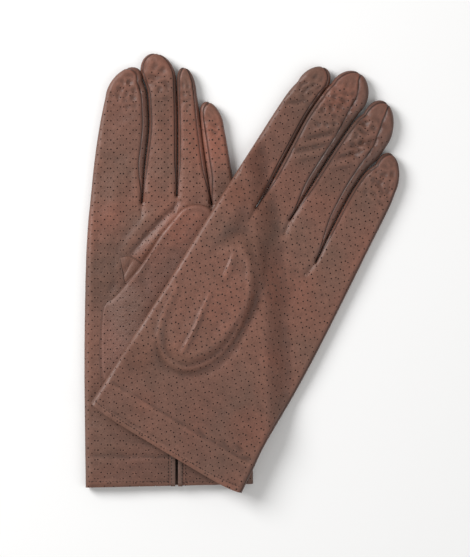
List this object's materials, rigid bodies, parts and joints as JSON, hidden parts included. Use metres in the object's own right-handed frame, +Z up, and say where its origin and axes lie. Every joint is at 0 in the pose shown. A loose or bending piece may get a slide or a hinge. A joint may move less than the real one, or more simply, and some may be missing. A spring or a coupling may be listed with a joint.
{
  "type": "leather driving gloves",
  "caption": "Short brown leather driving gloves punched with small holes, a palm-up glove with its mate laid back up across it; the fingers fold and the thumbs swing.",
  "frame": {"origin": "middle of the pair on the table, under its bounding box", "axes": "+X to the right as stored, from the index finger to the little finger of the lower glove, +Y from cuff to fingertips of the lower glove, +Z up from the table"},
  "size_m": [0.1758, 0.2415, 0.0188],
  "materials": {
    "glove_leather": "thin soft sheepskin with a fine grain, punched in small arches of four, dull satin",
    "thumb_leather": "the same leather, punched in small arches of four, dull satin",
    "fourchette_leather": "the same leather in narrow strips, dull satin",
    "seam_leather": "the same leather, folded and sewn, dull satin",
    "trim_leather": "the same leather, turned and sewn flat",
    "elastic_tape": "woven elastic tape"
  },
  "bodies": {
    "left_hand": {"left_back_panel": "glove_leather", "left_palm_panel": "glove_leather", "left_index_side_fold": "seam_leather", "left_side_seam": "seam_leather", "left_thumb_gusset": "trim_leather", "left_wrist_elastic": "elastic_tape", "left_vent_binding_index": "trim_leather", "left_vent_binding_little": "trim_leather"},
    "left_index": {"left_index_back": "glove_leather", "left_index_palm": "glove_leather", "left_index_fold": "seam_leather", "left_index_fourchette_b": "fourchette_leather"},
    "left_middle": {"left_middle_back": "glove_leather", "left_middle_palm": "glove_leather", "left_middle_fourchette_a": "fourchette_leather", "left_middle_fourchette_b": "fourchette_leather"},
    "left_ring": {"left_ring_back": "glove_leather", "left_ring_palm": "glove_leather", "left_ring_fourchette_a": "fourchette_leather", "left_ring_fourchette_b": "fourchette_leather"},
    "left_little": {"left_little_back": "glove_leather", "left_little_palm": "glove_leather", "left_little_fourchette_a": "fourchette_leather", "left_little_seam": "seam_leather"},
    "left_thumb": {"left_thumb_outer": "thumb_leather", "left_thumb_inner": "thumb_leather", "left_thumb_fold": "seam_leather", "left_thumb_seam": "seam_leather"},
    "right_hand": {"right_back_panel": "glove_leather", "right_palm_panel": "glove_leather", "right_index_side_fold": "seam_leather", "right_side_seam": "seam_leather", "right_thumb_gusset": "trim_leather", "right_wrist_elastic": "elastic_tape", "right_vent_binding_index": "trim_leather", "right_vent_binding_little": "trim_leather"},
    "right_index": {"right_index_back": "glove_leather", "right_index_palm": "glove_leather", "right_index_fold": "seam_leather", "right_index_fourchette_b": "fourchette_leather"},
    "right_middle": {"right_middle_back": "glove_leather", "right_middle_palm": "glove_leather", "right_middle_fourchette_a": "fourchette_leather", "right_middle_fourchette_b": "fourchette_leather"},
    "right_ring": {"right_ring_back": "glove_leather", "right_ring_palm": "glove_leather", "right_ring_fourchette_a": "fourchette_leather", "right_ring_fourchette_b": "fourchette_leather"},
    "right_little": {"right_little_back": "glove_leather", "right_little_palm": "glove_leather", "right_little_fourchette_a": "fourchette_leather", "right_little_seam": "seam_leather"},
    "right_thumb": {"right_thumb_outer": "thumb_leather", "right_thumb_inner": "thumb_leather", "right_thumb_fold": "seam_leather", "right_thumb_seam": "seam_leather"}
  },
  "joints": [
    {"name": "left_index_bend", "type": "hinge", "parent": "left_hand", "child": "left_index", "pos_m": [-0.0691, 0.0396, 0.00705], "axis": [0.9957, -0.0924, 0], "range_deg": [0, 80]},
    {"name": "left_middle_bend", "type": "hinge", "parent": "left_hand", "child": "left_middle", "pos_m": [-0.0452, 0.0406, 0.00705], "axis": [0.9999, -0.0105, 0], "range_deg": [0, 80]},
    {"name": "left_ring_bend", "type": "hinge", "parent": "left_hand", "child": "left_ring", "pos_m": [-0.0268, 0.0401, 0.00705], "axis": [0.9981, 0.0611, 0], "range_deg": [0, 80]},
    {"name": "left_little_bend", "type": "hinge", "parent": "left_hand", "child": "left_little", "pos_m": [-0.012, 0.0526, 0.00705], "axis": [0.9903, 0.1392, 0], "range_deg": [0, 80]},
    {"name": "left_thumb_swing", "type": "hinge", "parent": "left_hand", "child": "left_thumb", "pos_m": [-0.0629, -0.0279, 0.0094], "axis": [0, 0, 1], "range_deg": [0, 75]},
    {"name": "right_glove_lift", "type": "slide", "parent": "left_hand", "child": "right_hand", "axis": [0, 0, 1], "range_m": [0, 0.12]},
    {"name": "right_index_bend", "type": "hinge", "parent": "right_hand", "child": "right_index", "pos_m": [-0.00005, 0.04145, 0.01784], "axis": [0.849, -0.5284, 0], "range_deg": [0, 80]},
    {"name": "right_middle_bend", "type": "hinge", "parent": "right_hand", "child": "right_middle", "pos_m": [0.01721, 0.03271, 0.01331], "axis": [0.8453, -0.5344, 0], "range_deg": [0, 80]},
    {"name": "right_ring_bend", "type": "hinge", "parent": "right_hand", "child": "right_ring", "pos_m": [0.03392, 0.01815, 0.00714], "axis": [0.8358, -0.549, 0], "range_deg": [0, 80]},
    {"name": "right_little_bend", "type": "hinge", "parent": "right_hand", "child": "right_little", "pos_m": [0.05123, 0.00147, 0.00705], "axis": [0.866, -0.5, 0], "range_deg": [0, 80]},
    {"name": "right_thumb_swing", "type": "hinge", "parent": "right_hand", "child": "right_thumb", "pos_m": [-0.04168, -0.04513, 0.0094], "axis": [0, 0, 1], "range_deg": [-5, 5]}
  ]
}
